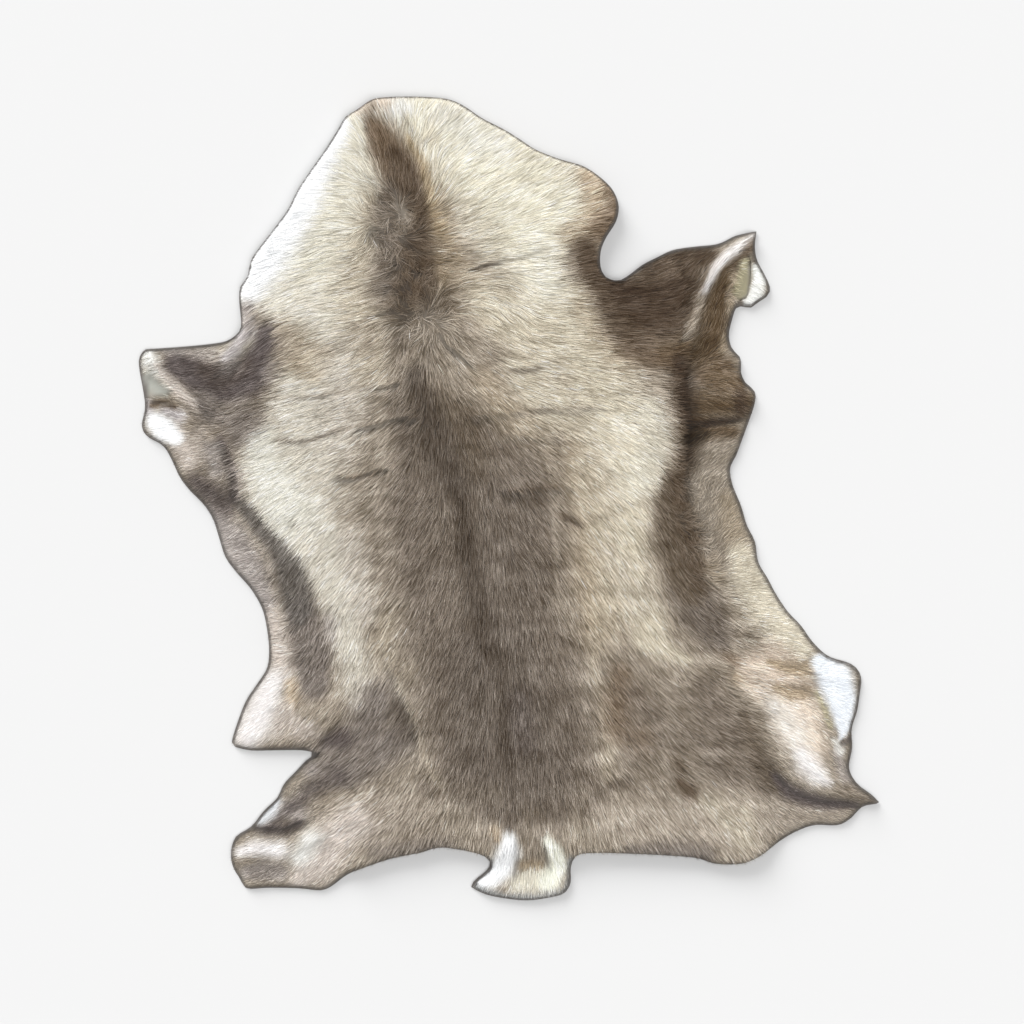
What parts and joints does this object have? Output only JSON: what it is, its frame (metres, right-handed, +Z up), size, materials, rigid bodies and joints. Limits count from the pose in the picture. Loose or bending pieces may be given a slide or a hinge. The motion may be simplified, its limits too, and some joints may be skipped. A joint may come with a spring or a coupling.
{
  "type": "reindeer hide",
  "caption": "Whole reindeer hide laid fur side up, with its neck, leg flaps and tail, in pale cream, taupe and brown.",
  "frame": {"origin": "middle of the hide's bounding box, on the surface it rests on", "axes": "+Y from the tail towards the neck, +Z up out of the fur, flesh side resting on Z = 0"},
  "size_m": [1.113, 1.2061, 0.0322],
  "materials": {
    "fur": "dense natural fur on tanned skin, matt"
  },
  "bodies": {
    "root": {"hide": "fur"}
  },
  "joints": []
}
